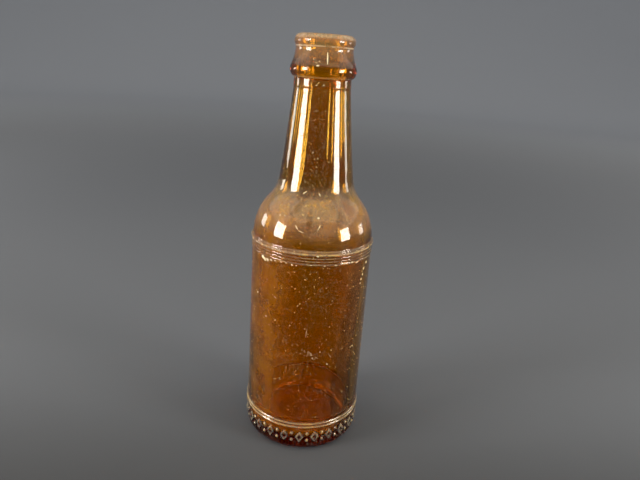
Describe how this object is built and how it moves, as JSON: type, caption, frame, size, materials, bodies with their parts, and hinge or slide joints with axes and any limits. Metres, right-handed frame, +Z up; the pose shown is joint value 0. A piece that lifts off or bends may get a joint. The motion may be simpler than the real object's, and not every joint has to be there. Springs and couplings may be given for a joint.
{
  "type": "beer bottle",
  "caption": "Small round long-neck bottle of amber glass with a crown finish, open mouth, shoulder band, heel ring and a row of raised lozenges.",
  "frame": {"origin": "centre of the flat ring that the bottle stands on", "axes": "+Z up the bottle's axis, towards the mouth; -Y towards the side that the picture shows"},
  "size_m": [0.0586, 0.0586, 0.194],
  "materials": {
    "amber_glass": "clear amber soda-lime glass, glossy, with light dust, scuffs on the shoulder band and a few bruises"
  },
  "bodies": {
    "root": {"bottle": "amber_glass"}
  },
  "joints": []
}
